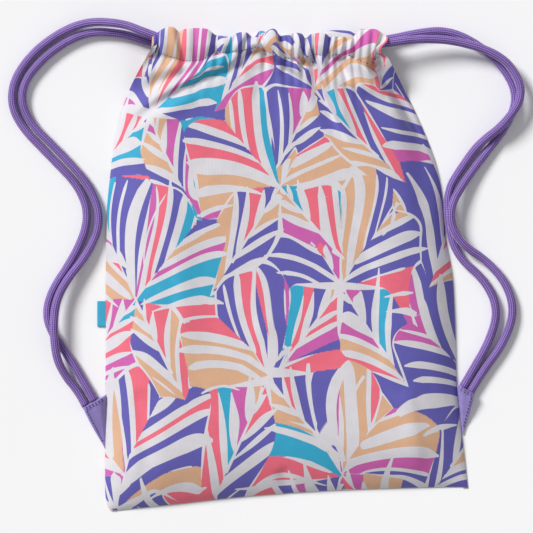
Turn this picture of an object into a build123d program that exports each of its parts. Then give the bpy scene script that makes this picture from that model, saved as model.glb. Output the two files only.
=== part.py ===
from build123d import *

import os
from math import pi, radians, tan

# Drawstring backpack, lying flat on its back panel with the front panel up.
#
# Millimetres. +Z is up, +Y runs to the mouth, +X to the side of the right strap.
# The origin is the bottom centre of the bag's box, measured without the free cords.

os.makedirs("parts", exist_ok=True)

# ---- driving dimensions -------------------------------------------------------------

FABRIC = 1.2  # the panel cloth with its coating, rounded up so that it has a solid
CHANNEL_WALL = 1.0
CORD_D = 8.0
CORD_R = CORD_D / 2

HALF_HEIGHT = 225.0  # the bag reaches this far up and down from its middle
HALF_WIDTH = 183.0  # to the outer corners of the tabs

CHANNEL_LEFT = -119.0
CHANNEL_RIGHT = 102.4
CHANNEL_LOW = 198.5  # the channel's edge at its stitch line
CHANNEL_H = 10.8  # depth of a channel, front to back
FRONT_CHANNEL_Z = 16.6  # underside of the front channel
HOOD = 16.0  # length at each end where the channels' facing walls are open
OUTER_LANE = 219.5  # the two cords run side by side in each channel
INNER_LANE = 210.0
BACK_RUN_Z = CHANNEL_H / 2
FRONT_RUN_Z = FRONT_CHANNEL_Z + CHANNEL_H / 2
RUN_STICK_OUT = 2.0  # a run ends this far outside its channel

NECK_Y = 197.5  # where the panels end and the channels begin
BELLY_Z = 24.0  # top of the front panel
SHOULDER_Z = 13.0

SEAM_INSET = 8.5  # the seam allowances lie this far inside the outline
SEAM_WIDTH = 5.0
SEAM_THICK = 1.2

STITCH = (2.4, 0.6, 0.5)  # length, width and height of one stitch
STITCH_PITCH = 3.6
CHANNEL_STITCH_INSET = 2.6
BARTACK = (4.0, 9.0, 0.6)
BARTACK_INSET = 5.0

TAB_TOP = CORD_D + 0.2  # thickness of a tab where it wraps the cords
TAB_EDGE = 1.8  # thickness of a tab at its sewn edge
TAB_ROWS = (2.2, 4.2)  # the two rows of stitches below a tab's top edge

LABEL = (7.2, 24.0, 0.9)
LABEL_INNER_X = -162.0
LABEL_Y = -41.0
LABEL_LIFT = 0.2

# ---- outline of the bag, from the left end of the neck, down, across and up ----------

LEFT_SIDE = [
    (-122.5, NECK_Y),
    (-140.0, 166.0),
    (-151.5, 129.0),
    (-157.5, 86.0),
    (-161.0, 40.0),
    (-161.4, -60.0),
    (-162.0, -167.0),
    (-161.4, -214.0),
    (-156.5, -HALF_HEIGHT),
]
BOTTOM = [
    (-96.0, -218.5),
    (-26.0, -211.0),
    (57.0, -205.5),
    (158.5, -202.5),
    (177.0, -203.5),
]
RIGHT_SIDE = [
    (174.0, -176.5),
    (167.0, -111.5),
    (165.0, -46.5),
    (162.5, -5.0),
    (157.0, 25.0),
    (154.4, 52.0),
    (151.5, 79.0),
    (144.5, 107.0),
    (127.0, 149.0),
    (101.5, NECK_Y),
]
OUTLINE = LEFT_SIDE + BOTTOM + RIGHT_SIDE

# ---- the straps: routes of the cords' centrelines, from the channel to the tab -------

LEFT_FRONT_ROUTE = [
    (-126, 219.5, 22),
    (-146, 230.5, 19),
    (-185, 231.5, 7),
    (-226, 207, 4),
    (-250, 173, 4),
    (-246, 140, 4),
    (-213, 106, 4),
    (-185, 77, 4),
    (-176, 48, 4),
    (-189, 14, 4),
    (-213.5, -22, 4),
    (-217, -50, 4),
    (-196, -80, 4),
    (-180.1, -107.1, 4),
    (-172.0, -122.0, 4),
]
LEFT_BACK_ROUTE = [
    (-126, 210, 5.4),
    (-146, 220, 4.8),
    (-181, 222.5, 4),
    (-217, 201, 4),
    (-241, 171, 4),
    (-236, 141, 4),
    (-205.5, 111.5, 4),
    (-175.5, 78.5, 4),
    (-165, 47, 4),
    (-176, 17, 7),
    (-202.5, -16, 13),
    (-209.5, -42, 20),
    (-207.5, -80, 20),
    (-198, -100, 8),
    (-187.4, -112.1, 4),
    (-179.8, -126.2, 4),
]
RIGHT_FRONT_ROUTE = [
    (109.5, 210, 22),
    (128, 214.5, 21),
    (160, 214, 20),
    (196, 204.5, 20),
    (217, 190, 20),
    (228.5, 163, 20),
    (211, 136, 20),
    (186.3, 117.5, 8),
    (170.3, 94.8, 4),
    (157.5, 74, 4),
    (158.5, 40, 4),
    (167, 12.5, 4),
    (192, -9, 4),
    (205, -36, 4),
    (198, -64, 4),
    (181.2, -93.5, 4),
    (172.1, -109.0, 4),
]
RIGHT_BACK_ROUTE = [
    (109.5, 219.5, 5.4),
    (127, 222, 4.6),
    (158, 224, 4),
    (190, 208.5, 4),
    (213, 185, 4),
    (223.5, 160, 4),
    (212, 133, 4),
    (191.5, 107, 4),
    (173, 82, 7),
    (160, 60, 12.6),
    (160.5, 40, 12.6),
    (172.5, 22.5, 9.5),
    (194, 9, 4),
    (213, -13, 4),
    (220.5, -40, 4),
    (209, -70, 4),
    (189.4, -95.9, 4),
    (179.3, -113.2, 4),
]
TANGENT_SHARE = 0.45  # share of the shorter run that each arc takes up

# ---- tabs: sewn corner at the top, outer corner, and tip, seen from above -------------

LEFT_TAB = [(-162.2, -116.7), (-HALF_WIDTH, -128.0), (-162.9, -168.3)]
RIGHT_TAB = [(167.8, -106.5), (HALF_WIDTH, -115.4), (173.0, -155.0)]
LEFT_WEDGE = 5.0  # distance from the sewn corner to full thickness, along the top edge
RIGHT_WEDGE = 1.4


def write(name, shape, colour):
    """Writes one node's solids to parts/NAME.step."""
    shape.label = name
    shape.color = Color(*colour)
    export_step(shape, f"parts/{name}.step")


PRINT = (0.72, 0.68, 0.85)
CORD = (0.60, 0.45, 0.77)
TAB = (0.60, 0.53, 0.78)
THREAD = (0.42, 0.36, 0.60)
LABEL_BLUE = (0.23, 0.66, 0.80)

# ---- panels ---------------------------------------------------------------------------


def ring(share_x, share_y, z, grow=0.0):
    """The outline shrunk towards its middle column and the neck, at height z."""
    points = []
    for x, y in OUTLINE:
        depth = NECK_Y - y
        neck = grow if depth == 0 else 0.0
        points.append((x * share_x, NECK_Y + neck - depth * share_y, z))
    return Wire.make_polygon(points)


def panel_slab(z_low, z_high):
    """A flat slab of the bag's outline."""
    face = Face(ring(1, 1, z_low))
    return Solid.extrude(face, Vector(0, 0, z_high - z_low))


def belly(inset, drop, neck_grow):
    """The domed space over the back panel: rim, shoulder and top, narrowing upwards."""
    width = HALF_WIDTH
    height = 2 * HALF_HEIGHT
    rings = []
    for share_x, share_y, z in (
        (1.0, 1.0, FABRIC),
        (0.87, 0.94, SHOULDER_Z),
        (0.70, 0.86, BELLY_Z),
    ):
        rings.append(
            ring(share_x - inset / width, share_y - inset / height, z - drop, neck_grow)
        )
    return Solid.make_loft(rings, ruled=True)


def front_panel():
    """The front cloth: a shell that rests on the back panel and is open at the neck."""
    outer = belly(0.0, 0.0, 0.0)
    inner = belly(1.6 * FABRIC, FABRIC, 1.0)
    return outer - inner


def inset_line(points, distance):
    """The line through these points, moved to its left by a distance, with its corners kept."""
    points = [Vector(*point) for point in points]
    normals = []
    for start, end in zip(points, points[1:]):
        normals.append(Vector(0, 0, 1).cross(end - start).normalized())
    before = normals[:1] + normals
    after = normals + normals[-1:]
    moved = []
    for point, a, b in zip(points, before, after):
        moved.append(point + (a + b) * (distance / (1 + a.dot(b))))
    return moved


def seam_strip(points):
    """A seam allowance: a flat strip inside the bag that follows part of the outline."""
    outer = inset_line(points, SEAM_INSET)
    inner = inset_line(points, SEAM_INSET + SEAM_WIDTH)
    face = Face(Wire.make_polygon(outer + inner[::-1]))
    return Pos(0, 0, FABRIC) * Solid.extrude(face, Vector(0, 0, SEAM_THICK))


# ---- channels -------------------------------------------------------------------------


def channel(z_low, open_side):
    """A flattened tube across the mouth. open_side is +1 or -1: the facing wall's side."""
    width = HALF_HEIGHT - CHANNEL_LOW
    middle_y = (HALF_HEIGHT + CHANNEL_LOW) / 2
    middle_z = z_low + CHANNEL_H / 2
    length = CHANNEL_RIGHT - CHANNEL_LEFT
    section = Plane.YZ.offset(CHANNEL_LEFT) * Pos(middle_y, middle_z)
    outer = section * SlotOverall(width, CHANNEL_H)
    inner = section * SlotOverall(width - 2 * CHANNEL_WALL, CHANNEL_H - 2 * CHANNEL_WALL)
    tube = extrude(outer - inner, length)
    for x in (CHANNEL_LEFT + HOOD / 2, CHANNEL_RIGHT - HOOD / 2):
        facing = Box(HOOD, width, CHANNEL_H)
        tube = tube - Pos(x, middle_y, middle_z + open_side * CHANNEL_H / 2) * facing
    return tube


def channel_stitches(z):
    """A row of stitches along the channel's low edge, standing on the face at height z."""
    long, wide, high = STITCH
    y = CHANNEL_LOW + CHANNEL_H / 2 + CHANNEL_STITCH_INSET
    first = CHANNEL_LEFT + HOOD
    last = CHANNEL_RIGHT - HOOD
    count = int((last - first) / STITCH_PITCH)
    row = []
    for i in range(count):
        x = first + (i + 0.5) * STITCH_PITCH
        row.append(Pos(x, y, z + high / 2) * Box(long, wide, high))
    return Compound(children=row)


def bartack(x):
    """A dense block of thread that closes the stitch line at one end of the mouth."""
    long, tall, high = BARTACK
    y = CHANNEL_LOW + CHANNEL_H / 2 + tall / 2
    z = FRONT_CHANNEL_Z + CHANNEL_H + high / 2
    return Pos(x, y, z) * Box(long, tall, high)


# ---- cords ----------------------------------------------------------------------------


def tube(path):
    """Sweeps the round cord section along a path."""
    start = path @ 0
    section = Plane(origin=start, z_dir=path % 0) * Circle(CORD_R)
    return sweep(section, path=path)


def strand(name, route):
    """A free stretch of cord: straight runs joined by arcs as large as the runs allow."""
    points = [Vector(*p) for p in route]
    radii = []
    for before, here, after in zip(points, points[1:], points[2:]):
        turn = (here - before).get_angle(after - here)
        shorter = min((here - before).length, (after - here).length)
        radii.append(TANGENT_SHARE * shorter / tan(radians(turn) / 2))
    path = FilletPolyline(*points, radius=radii)
    solid = tube(path)
    expected = path.length * pi * CORD_R**2
    print(
        name,
        "length",
        round(path.length, 1),
        "radii",
        [round(r) for r in radii],
        "volume/expected",
        round(solid.volume / expected, 4),
    )
    return solid


def run(x_start, x_end, lane, z):
    """The stretch of a cord inside a channel."""
    return tube(Line((x_start, lane, z), (x_end, lane, z)))


def turn(x, direction, front_lane, back_lane):
    """The half circle that takes a cord from the front channel round to the back one."""
    top = Vector(x, front_lane, FRONT_RUN_Z)
    bottom = Vector(x, back_lane, BACK_RUN_Z)
    middle = (top + bottom) * 0.5
    reach = (top - bottom).length / 2
    crown = middle + Vector(direction * reach, 0, 0)
    return tube(ThreePointArc(top, crown, bottom))


# ---- tabs -----------------------------------------------------------------------------


def tab_points(corners, wedge):
    """Floor corners and raised corners of a tab, from its three corners in plan."""
    sewn, outer, tip = (Vector(x, y, 0) for x, y in corners)
    along = (outer - sewn).normalized()
    full = sewn + along * wedge
    up = Vector(0, 0, 1)
    return {
        "sewn": sewn,
        "outer": outer,
        "tip": tip,
        "sewn_top": sewn + up * TAB_EDGE,
        "full_top": full + up * TAB_TOP,
        "outer_top": outer + up * TAB_TOP,
        "tip_top": tip + up * TAB_EDGE,
    }


def tab(corners, wedge):
    """A folded triangle of cloth, thick where it wraps the cord ends, thin at its tip."""
    p = tab_points(corners, wedge)
    loops = [
        ("sewn", "outer", "tip"),
        ("sewn", "outer", "outer_top", "full_top", "sewn_top"),
        ("sewn", "sewn_top", "tip_top", "tip"),
        ("outer", "tip", "tip_top", "outer_top"),
        ("sewn_top", "full_top", "tip_top"),
        ("full_top", "outer_top", "tip_top"),
    ]
    faces = [Face(Wire.make_polygon([p[key] for key in loop])) for loop in loops]
    return Solid(Shell(faces))


def tab_stitches(corners, wedge):
    """Two rows of stitches below the top edge, on the tab's sloping upper face."""
    p = tab_points(corners, wedge)
    long, wide, high = STITCH
    across = (p["outer_top"] - p["full_top"]).normalized()
    normal = across.cross(p["tip_top"] - p["full_top"]).normalized()
    if normal.Z < 0:
        normal = normal * -1
    down = across.cross(normal).normalized()
    if down.dot(p["tip_top"] - p["full_top"]) < 0:
        down = down * -1
    length = (p["outer_top"] - p["full_top"]).length
    count = int(length / STITCH_PITCH)
    stitches = []
    for row in TAB_ROWS:
        for i in range(count):
            slide = (i + 0.5) * length / count
            centre = p["full_top"] + across * slide + down * row + normal * (high / 2)
            place = Plane(origin=centre, x_dir=across, z_dir=normal)
            if 0.9 * length > slide + long / 2:
                stitches.append(place * Box(long, wide, high))
    return Compound(children=stitches)


# ---- build and write every node -------------------------------------------------------

write("back_panel", panel_slab(0.0, FABRIC), PRINT)
write("front_panel", front_panel(), PRINT)
write("left_side_seam", seam_strip(LEFT_SIDE[1:-1]), PRINT)
write("bottom_seam", seam_strip(BOTTOM[:-1]), PRINT)
write("right_side_seam", seam_strip(RIGHT_SIDE[:-1]), PRINT)

write("back_channel", channel(0.0, 1), PRINT)
write("front_channel", channel(FRONT_CHANNEL_Z, -1), PRINT)
write("front_channel_stitching", channel_stitches(FRONT_CHANNEL_Z + CHANNEL_H), THREAD)
write("back_channel_stitching", channel_stitches(CHANNEL_H), THREAD)
write("left_mouth_bartack", bartack(CHANNEL_LEFT + BARTACK_INSET), THREAD)
write("right_mouth_bartack", bartack(CHANNEL_RIGHT - BARTACK_INSET), THREAD)

left_end = CHANNEL_LEFT - RUN_STICK_OUT
right_end = CHANNEL_RIGHT + RUN_STICK_OUT
left_turn_x = CHANNEL_LEFT + HOOD
right_turn_x = CHANNEL_RIGHT - HOOD
write("left_cord_front_run", run(left_end, right_turn_x, OUTER_LANE, FRONT_RUN_Z), CORD)
write("left_cord_back_run", run(left_end, right_turn_x, INNER_LANE, BACK_RUN_Z), CORD)
write("left_cord_turn", turn(right_turn_x, 1, OUTER_LANE, INNER_LANE), CORD)
write("right_cord_front_run", run(right_end, left_turn_x, INNER_LANE, FRONT_RUN_Z), CORD)
write("right_cord_back_run", run(right_end, left_turn_x, OUTER_LANE, BACK_RUN_Z), CORD)
write("right_cord_turn", turn(left_turn_x, -1, INNER_LANE, OUTER_LANE), CORD)

write("left_cord_front_strand", strand("left front", LEFT_FRONT_ROUTE), CORD)
write("left_cord_back_strand", strand("left back", LEFT_BACK_ROUTE), CORD)
write("right_cord_front_strand", strand("right front", RIGHT_FRONT_ROUTE), CORD)
write("right_cord_back_strand", strand("right back", RIGHT_BACK_ROUTE), CORD)

write("left_tab", tab(LEFT_TAB, LEFT_WEDGE), TAB)
write("right_tab", tab(RIGHT_TAB, RIGHT_WEDGE), TAB)
write("left_tab_stitching", tab_stitches(LEFT_TAB, LEFT_WEDGE), THREAD)
write("right_tab_stitching", tab_stitches(RIGHT_TAB, RIGHT_WEDGE), THREAD)

label_long, label_tall, label_thick = LABEL
label_at = Pos(LABEL_INNER_X - label_long / 2, LABEL_Y, LABEL_LIFT + label_thick / 2)
write("label_tag", label_at * Box(label_long, label_tall, label_thick), LABEL_BLUE)
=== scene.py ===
"""Drawstring backpack lying on its back panel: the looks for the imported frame, in metres."""

from math import cos, hypot, pi, radians, sin

import bpy
import numpy as np
from mathutils import Euler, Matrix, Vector
from mathutils.bvhtree import BVHTree


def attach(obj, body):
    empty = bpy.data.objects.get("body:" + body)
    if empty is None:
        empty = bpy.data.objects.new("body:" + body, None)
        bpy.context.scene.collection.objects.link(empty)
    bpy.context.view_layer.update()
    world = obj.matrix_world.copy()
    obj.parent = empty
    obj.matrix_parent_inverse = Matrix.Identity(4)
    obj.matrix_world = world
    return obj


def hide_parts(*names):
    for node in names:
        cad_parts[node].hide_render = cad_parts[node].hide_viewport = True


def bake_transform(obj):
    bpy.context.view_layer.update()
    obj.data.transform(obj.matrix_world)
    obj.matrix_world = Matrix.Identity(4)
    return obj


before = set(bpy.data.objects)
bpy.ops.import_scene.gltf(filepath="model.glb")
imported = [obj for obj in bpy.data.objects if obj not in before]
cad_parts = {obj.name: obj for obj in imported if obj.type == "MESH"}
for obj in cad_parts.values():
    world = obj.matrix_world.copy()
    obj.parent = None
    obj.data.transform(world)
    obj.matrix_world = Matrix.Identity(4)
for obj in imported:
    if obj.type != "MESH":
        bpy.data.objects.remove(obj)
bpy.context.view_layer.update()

MM = 0.001

# ---- camera ----

CAMERA_XY = (-0.01116, 0.003255)
CAMERA_HEIGHT = 3.012
SUBJECT_HEIGHT = 0.012
VIEW_WIDTH = 0.4957
SENSOR = 36.0

camera_data = bpy.data.cameras.new("camera")
camera_data.sensor_width = SENSOR
camera_data.lens = SENSOR * (CAMERA_HEIGHT - SUBJECT_HEIGHT) / VIEW_WIDTH
camera_data.clip_start = 0.05
camera = bpy.data.objects.new("camera", camera_data)
camera.location = (*CAMERA_XY, CAMERA_HEIGHT)
bpy.context.scene.collection.objects.link(camera)
bpy.context.scene.camera = camera


# ---- small helpers ----


def smooth(x, low=0.0, high=1.0):
    """A soft step from 0 at low to 1 at high."""
    t = np.clip((x - low) / (high - low), 0, 1)
    return t * t * (3 - 2 * t)


def noise(x, y, seed):
    """Smooth noise from -1 to 1, with cells one unit wide."""
    xi, yi = np.floor(x), np.floor(y)
    fx, fy = smooth(x - xi), smooth(y - yi)

    def corner(i, j):
        value = np.sin((xi + i) * 127.1 + (yi + j) * 311.7 + seed * 74.7) * 43758.5453
        return 2 * (value - np.floor(value)) - 1

    low = corner(0, 0) * (1 - fx) + corner(1, 0) * fx
    high = corner(0, 1) * (1 - fx) + corner(1, 1) * fx
    return low * (1 - fy) + high * fy


def rounded(points, steps=12):
    """A dense smooth line through points: Catmull-Rom, any number of coordinates."""
    p = np.array(points, float)
    p = np.vstack([2 * p[0] - p[1], p, 2 * p[-1] - p[-2]])
    line = []
    for a, b, c, d in zip(p, p[1:], p[2:], p[3:]):
        for t in np.arange(steps) / steps:
            line.append(
                0.5 * (2 * b + (c - a) * t + (2 * a - 5 * b + 4 * c - d) * t**2
                       + (3 * b - a - 3 * c + d) * t**3)
            )
    line.append(p[-2])
    return np.array(line)


def along(line, shares):
    """Points at these shares of a line's length."""
    line = np.array(line, float)
    run = np.concatenate([[0], np.cumsum(np.linalg.norm(np.diff(line, axis=0), axis=1))])
    wanted = np.asarray(shares) * run[-1]
    return np.stack([np.interp(wanted, run, line[:, i]) for i in range(line.shape[1])], -1)


def line_length(line):
    return float(np.linalg.norm(np.diff(np.array(line, float), axis=0), axis=1).sum())


def link(mesh, name):
    obj = bpy.data.objects.new(name, mesh)
    bpy.context.scene.collection.objects.link(obj)
    return obj


def grid_faces(rows, columns, wrap=False, flip=False):
    """Quads of a grid of points. wrap joins the last column to the first."""
    index = np.arange(rows * columns).reshape(rows, columns)
    if wrap:
        index = np.hstack([index, index[:, :1]])
    quads = np.stack([index[:-1, :-1], index[:-1, 1:], index[1:, 1:], index[1:, :-1]], -1)
    quads = quads.reshape(-1, 4)
    return quads[:, ::-1] if flip else quads


def tube_faces(rows, around, flip=False):
    """Quads round a tube made of rings, and the two faces that close it."""
    first, last = list(range(around)), list(range((rows - 1) * around, rows * around))
    ends = [first, last[::-1]] if flip else [first[::-1], last]
    return grid_faces(rows, around, wrap=True, flip=flip).tolist() + ends


def tube_uv(across, down, flip=False):
    """The uv of a tube's faces from their places round it and along it. Its two ends have none."""
    pairs = np.stack(np.meshgrid(across, down), -1).reshape(-1, 2)
    corners = pairs[grid_faces(len(down), len(across), flip=flip)].reshape(-1, 2)
    return np.concatenate([corners, np.zeros((2 * (len(across) - 1), 2))])


def mesh_object(name, points, faces, corner_uv=None, material=None):
    """A smooth mesh from points in millimetres. corner_uv is a pair for each face's corners."""
    mesh = bpy.data.meshes.new(name)
    mesh.from_pydata((np.reshape(points, (-1, 3)) * MM).tolist(), [], [list(f) for f in faces])
    mesh.shade_smooth()
    if corner_uv is not None:
        layer = mesh.uv_layers.new(name="cut")
        layer.data.foreach_set("uv", np.asarray(corner_uv, np.float32).ravel())
    if material is not None:
        mesh.materials.append(material)
    return link(mesh, name)


def apply_modifiers(obj):
    graph = bpy.context.evaluated_depsgraph_get()
    mesh = bpy.data.meshes.new_from_object(obj.evaluated_get(graph))
    obj.modifiers.clear()
    obj.data = mesh
    mesh.shade_smooth()


# ---- cords ----
# The routes are the control points of the cords' lines, in millimetres.

CORD_D = 8.0

ROUTES = {
    "left_strap_front": [
        (-106, 214, 22), (-124, 220.5, 22), (-146, 229.5, 19), (-185, 231.5, 7), (-226, 207, 4),
        (-250, 173, 4), (-246, 140, 4), (-213, 106, 4), (-185, 77, 4), (-176, 48, 4),
        (-189, 14, 4), (-213.5, -22, 4), (-217, -50, 4), (-196, -80, 4),
        (-180.1, -107.1, 4), (-172.0, -122.0, 4),
    ],
    "left_strap_back": [
        (-106, 209, 5.4), (-124, 213.5, 5.4), (-146, 221, 4.8), (-181, 222.5, 4), (-217, 201, 4),
        (-241, 171, 4), (-236, 141, 4), (-205.5, 111.5, 4), (-175.5, 78.5, 4),
        (-165, 47, 4), (-176, 17, 6), (-202.5, -16, 11), (-209.5, -42, 14.5),
        (-207.5, -80, 14.5), (-198, -100, 7), (-187.4, -112.1, 4), (-179.8, -126.2, 4),
    ],
    "right_strap_front": [
        (88, 209, 22), (107, 211.3, 22), (128, 214.5, 20), (160, 214, 16), (196, 204.5, 14),
        (217, 190, 13.5), (228.5, 163, 13.5), (211, 136, 13.5), (186.3, 117.5, 7),
        (170.3, 94.8, 4), (157.5, 74, 4), (158.5, 40, 4), (167, 12.5, 4), (192, -9, 4),
        (205, -36, 4), (198, -64, 4), (181.2, -93.5, 4), (172.1, -109.0, 4),
    ],
    "right_strap_back": [
        (88, 213, 5.4), (107, 215.5, 5.4), (127, 220.5, 4.6), (158, 224, 4), (190, 208.5, 4),
        (213, 185, 4), (223.5, 160, 4), (212, 133, 4), (191.5, 107, 4), (173, 82, 7),
        (160, 60, 12.6), (160.5, 40, 12.6), (172.5, 22.5, 9.5), (194, 9, 4),
        (213, -13, 4), (220.5, -40, 4), (209, -70, 4), (189.4, -95.9, 4),
        (179.3, -113.2, 4),
    ],
}


def route_line(points):
    """The smooth line of a route, read from its NURBS spline, in millimetres."""
    data = bpy.data.curves.new("route", "CURVE")
    data.dimensions = "3D"
    data.resolution_u = 24
    spline = data.splines.new("NURBS")
    spline.points.add(len(points) - 1)
    for point, place in zip(spline.points, points):
        point.co = (*place, 1)
    spline.order_u = 3
    spline.use_endpoint_u = True
    obj = link(data, "route")
    mesh = bpy.data.meshes.new_from_object(obj)
    line = np.array([v.co for v in mesh.vertices], float)
    bpy.data.objects.remove(obj)
    bpy.data.curves.remove(data)
    bpy.data.meshes.remove(mesh)
    return line


CORD_RIBS = 12
CORD_SIDES = CORD_RIBS * 4
CORD_STEP = 2.0
RIB_DEPTH = 0.26


def cord_tube(name, line, material):
    """A ribbed braid along a line. Its uv is the turn round it and the length along it."""
    length = line_length(line)
    count = int(length / CORD_STEP) + 1
    centres = along(line, np.linspace(0, 1, count))
    tangents = np.gradient(centres, axis=0)
    tangents /= np.linalg.norm(tangents, axis=1)[:, None]
    side = np.cross(tangents[0], (0, 0, 1.0))
    turns = np.arange(CORD_SIDES) / CORD_SIDES
    radius = CORD_D / 2 - RIB_DEPTH * (1 + np.cos(2 * pi * CORD_RIBS * turns)) / 2
    rings = []
    for i, (centre, tangent) in enumerate(zip(centres, tangents)):
        side = side - tangent * side.dot(tangent)
        side /= np.linalg.norm(side)
        up = np.cross(tangent, side)
        ring = np.cos(2 * pi * turns)[:, None] * side + np.sin(2 * pi * turns)[:, None] * up
        swell = 1 + 0.010 * sin(i * 0.37 + len(name)) + 0.006 * sin(i * 0.9)
        rings.append(centre + ring * radius[:, None] * swell)
    across = np.arange(CORD_SIDES + 1) * CORD_RIBS / CORD_SIDES
    uv = tube_uv(across, np.arange(count) * CORD_STEP)
    return mesh_object(name, np.array(rings), tube_faces(count, CORD_SIDES), uv, material)


# ---- materials ----


class Shader:
    """A material under construction: most methods add a node and return its output."""

    def __init__(self, name, roughness, sheen, sheen_roughness=0.5):
        self.material = bpy.data.materials.new(name)
        self.material.use_nodes = True
        self.tree = self.material.node_tree
        self.surface = self.tree.nodes["Principled BSDF"]
        self.surface.inputs["Roughness"].default_value = roughness
        self.surface.inputs["Sheen Weight"].default_value = sheen
        self.surface.inputs["Sheen Roughness"].default_value = sheen_roughness
        self.surface.inputs["Specular IOR Level"].default_value = 0.3

    def put(self, socket, value):
        if isinstance(value, bpy.types.NodeSocket):
            self.tree.links.new(value, socket)
        elif isinstance(value, tuple) and len(value) == 3 and socket.type == "RGBA":
            socket.default_value = (*value, 1)
        else:
            socket.default_value = value

    def math(self, operation, a, b=0.0, c=0.0):
        node = self.tree.nodes.new("ShaderNodeMath")
        node.operation = operation
        for socket, value in zip(node.inputs, (a, b, c)):
            self.put(socket, value)
        return node.outputs[0]

    def uv(self):
        node = self.tree.nodes.new("ShaderNodeUVMap")
        node.uv_map = "cut"
        return node.outputs[0]

    def place(self):
        return self.tree.nodes.new("ShaderNodeTexCoord").outputs["Object"]

    def split(self, vector):
        node = self.tree.nodes.new("ShaderNodeSeparateXYZ")
        self.put(node.inputs[0], vector)
        return node.outputs[0], node.outputs[1], node.outputs[2]

    def attribute(self, name, output):
        node = self.tree.nodes.new("ShaderNodeAttribute")
        node.attribute_name = name
        return node.outputs[output]

    def noise(self, vector, scale, detail=3.0):
        node = self.tree.nodes.new("ShaderNodeTexNoise")
        self.put(node.inputs["Vector"], vector)
        node.inputs["Scale"].default_value = scale
        node.inputs["Detail"].default_value = detail
        return node.outputs[0]

    def span(self, value, low, high, to_low=0.0, to_high=1.0):
        node = self.tree.nodes.new("ShaderNodeMapRange")
        for socket, v in zip(node.inputs, (value, low, high, to_low, to_high)):
            self.put(socket, v)
        return node.outputs[0]

    def mix(self, share, a, b, blend_type="MIX"):
        node = self.tree.nodes.new("ShaderNodeMix")
        node.data_type = "RGBA"
        node.blend_type = blend_type
        self.put(node.inputs[0], share)
        self.put(node.inputs[6], a)
        self.put(node.inputs[7], b)
        return node.outputs[2]

    def wave(self, value, pitch):
        """Even ridges from 0 to 1, one for each pitch of value."""
        turn = self.math("MULTIPLY", value, 2 * pi / pitch)
        return self.math("MULTIPLY_ADD", self.math("SINE", turn), 0.5, 0.5)

    def finish(self, colour, height, distance, strength=0.5, roughness=None):
        self.put(self.surface.inputs["Base Color"], colour)
        bump = self.tree.nodes.new("ShaderNodeBump")
        bump.inputs["Strength"].default_value = strength
        bump.inputs["Distance"].default_value = distance
        self.put(bump.inputs["Height"], height)
        self.put(self.surface.inputs["Normal"], bump.outputs[0])
        if roughness is not None:
            self.put(self.surface.inputs["Roughness"], roughness)
        return self.material


def linear(code):
    """The linear colour of a code such as "9a72c4"."""
    channels = [int(code[i : i + 2], 16) / 255 for i in (0, 2, 4)]
    return tuple(c / 12.92 if c < 0.04045 else ((c + 0.055) / 1.055) ** 2.4 for c in channels)


WHITE_CLOTH = linear("dfdce2")


def print_cloth(name):
    """Printed polyester: the print's two vertex fields, a fine ribbed weave with painted shade in its
    grooves, and faint wear.
    """
    s = Shader(name, 0.62, 0.10)
    across, down, _ = s.split(s.uv())
    ink = s.attribute("print_colour", "Color")
    bare = s.span(s.attribute("print_white", "Fac"), -0.16, 0.16)
    colour = s.mix(bare, ink, WHITE_CLOTH)
    warp, weft = s.wave(across, 0.015), s.wave(down, 0.011)
    weave = s.math("MULTIPLY_ADD", warp, 0.65, s.math("MULTIPLY", weft, 0.35))
    blotch = s.noise(s.uv(), 9.0)
    # painted shade in the weave's grooves, times faint wear blotches
    weave_shade_and_wear = s.math("MULTIPLY_ADD", weave, 0.07, s.span(blotch, 0.3, 0.7, 0.90, 0.965))
    colour = s.mix(1.0, colour, weave_shade_and_wear, "MULTIPLY")
    rough = s.span(s.noise(s.uv(), 30.0), 0.3, 0.7, 0.56, 0.70)
    return s.finish(colour, weave, 0.00022, 0.55, rough)


def cord_braid(name, base, groove_shade, light):
    """A knitted tubular cord: ribs along it, and slanted stitches that alternate rib by rib. Its
    colour has painted shade in the grooves and a painted highlight on the rib crests.
    """
    s = Shader(name, 0.55, 0.5, 0.35)
    turn, length, _ = s.split(s.uv())
    rib = s.wave(s.math("ADD", turn, 0.25), 1.0)
    slant = s.math("ABSOLUTE", s.math("SUBTRACT", s.math("FRACT", turn), 0.5))
    stitch = s.wave(s.math("MULTIPLY_ADD", slant, 2.6, length), 2.1)
    fuzz = s.noise(s.place(), 900.0, 4.0)
    height = s.math("MULTIPLY_ADD", stitch, 0.35, s.math("MULTIPLY", rib, 0.75))
    height = s.math("MULTIPLY_ADD", fuzz, 0.25, height)
    shaded_tone = s.span(height, 0.15, 1.05)
    # painted shade: the darker colour fills the low parts of the ribs and stitches
    colour = s.mix(shaded_tone, groove_shade, base)
    # painted highlight: the paler light colour goes on the rib crests
    colour = s.mix(s.span(height, 0.8, 1.3), colour, light)
    patch = s.span(s.noise(s.place(), 60.0), 0.3, 0.7, 0.90, 1.05)
    colour = s.mix(1.0, colour, patch, "MULTIPLY")
    return s.finish(colour, height, 0.0006, 0.8)


def twill(name, base, painted_shade_colour):
    """Twilled webbing: slanted ridges crossed by the weft, with painted shade between the ridges and
    worn patches.
    """
    s = Shader(name, 0.6, 0.35)
    across, down, _ = s.split(s.uv())
    ridge = s.wave(s.math("ADD", across, down), 1.05)
    weft = s.wave(down, 0.55)
    height = s.math("MULTIPLY_ADD", weft, 0.3, s.math("MULTIPLY", ridge, 0.7))
    worn = s.span(s.noise(s.uv(), 0.12), 0.3, 0.7, 0.90, 1.04)
    # painted shade: darker where the weave is low
    colour = s.mix(s.span(height, 0.0, 0.85), painted_shade_colour, base)
    return s.finish(s.mix(1.0, colour, worn, "MULTIPLY"), height, 0.0003, 0.6)


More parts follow.
